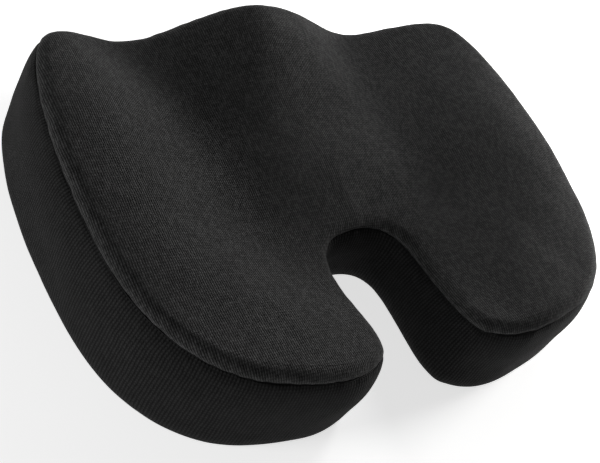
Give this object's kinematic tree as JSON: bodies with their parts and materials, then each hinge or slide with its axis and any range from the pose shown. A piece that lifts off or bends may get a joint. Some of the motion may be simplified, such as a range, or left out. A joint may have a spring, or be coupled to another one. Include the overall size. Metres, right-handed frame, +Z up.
{
  "type": "seat cushion",
  "caption": "Contoured memory-foam seat cushion with a U-shaped tailbone cut-out, a raised front ridge, thigh channels and a zipped knitted cover.",
  "frame": {"origin": "middle of the base, on the lowest face of the central grip dot, where the cushion rests on a seat", "axes": "+Z up, +Y towards the sitter's knees, +X to the sitter's right; the tailbone cut-out opens towards -Y"},
  "size_m": [0.4548, 0.3579, 0.1003],
  "materials": {
    "foam": "matt open-cell foam",
    "liner": "thin plain jersey",
    "top_knit": "fine ribbed knit, matt",
    "side_knit": "smooth knit, matt",
    "base_fabric": "plain woven, matt",
    "silicone": "smooth, slightly glossy",
    "thread": "twisted thread, matt",
    "zip_tape": "woven tape, matt",
    "zip_plastic": "moulded, semi-matt",
    "zip_metal": "black enamel",
    "webbing": "woven webbing, matt"
  },
  "bodies": {
    "cushion": {"foam_core": "foam", "liner_top": "liner", "liner_bottom": "liner", "top_panel": "top_knit", "side_band": "side_knit", "front_band_upper": "side_knit", "front_band_lower": "side_knit", "bottom_panel": "base_fabric", "grip_dots": "silicone", "top_seam_thread": "thread", "bottom_seam_thread": "thread", "corner_seam_threads": "thread", "zip_tape_upper": "zip_tape", "zip_tape_lower": "zip_tape", "zip_teeth_upper": "zip_plastic", "zip_teeth_lower": "zip_plastic", "zip_stops_closed_end": "zip_plastic", "zip_stop_open_end": "zip_plastic", "zip_stitching": "thread", "handle_strap": "webbing", "handle_stitching": "thread"},
    "slider": {"zip_slider": "zip_metal"},
    "puller": {"zip_puller": "zip_metal"}
  },
  "joints": [
    {"name": "zip_slide", "type": "hinge", "parent": "cushion", "child": "slider", "pos_m": [0, -1.011, 0.02], "axis": [0, 0, 1], "range_deg": [0, 12.09]},
    {"name": "puller_flip", "type": "hinge", "parent": "slider", "child": "puller", "pos_m": [0.12434, 0.16359, 0.02], "axis": [0, 0, -1], "range_deg": [0, 175]}
  ]
}
